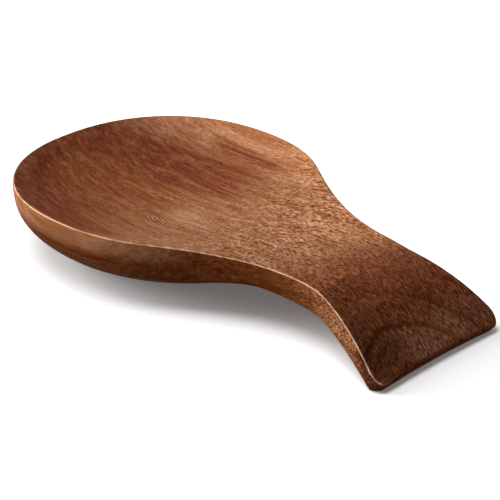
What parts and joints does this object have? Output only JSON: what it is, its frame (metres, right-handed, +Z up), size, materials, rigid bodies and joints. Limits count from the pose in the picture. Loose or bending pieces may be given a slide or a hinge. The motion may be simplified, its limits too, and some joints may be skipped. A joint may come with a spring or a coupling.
{
  "type": "spoon rest",
  "caption": "Carved wooden spoon rest: a round dish that runs out through a waisted neck into a flared handle curling down to the table.",
  "frame": {"origin": "middle of the length and of the width, on the table", "axes": "+X from the bowl's tip to the handle's end, +Y across the bowl, +Z up from the table"},
  "size_m": [0.2062, 0.1202, 0.0294],
  "materials": {
    "wood": "satin oil over reddish brown hardwood"
  },
  "bodies": {
    "root": {"carved_body": "wood"}
  },
  "joints": []
}
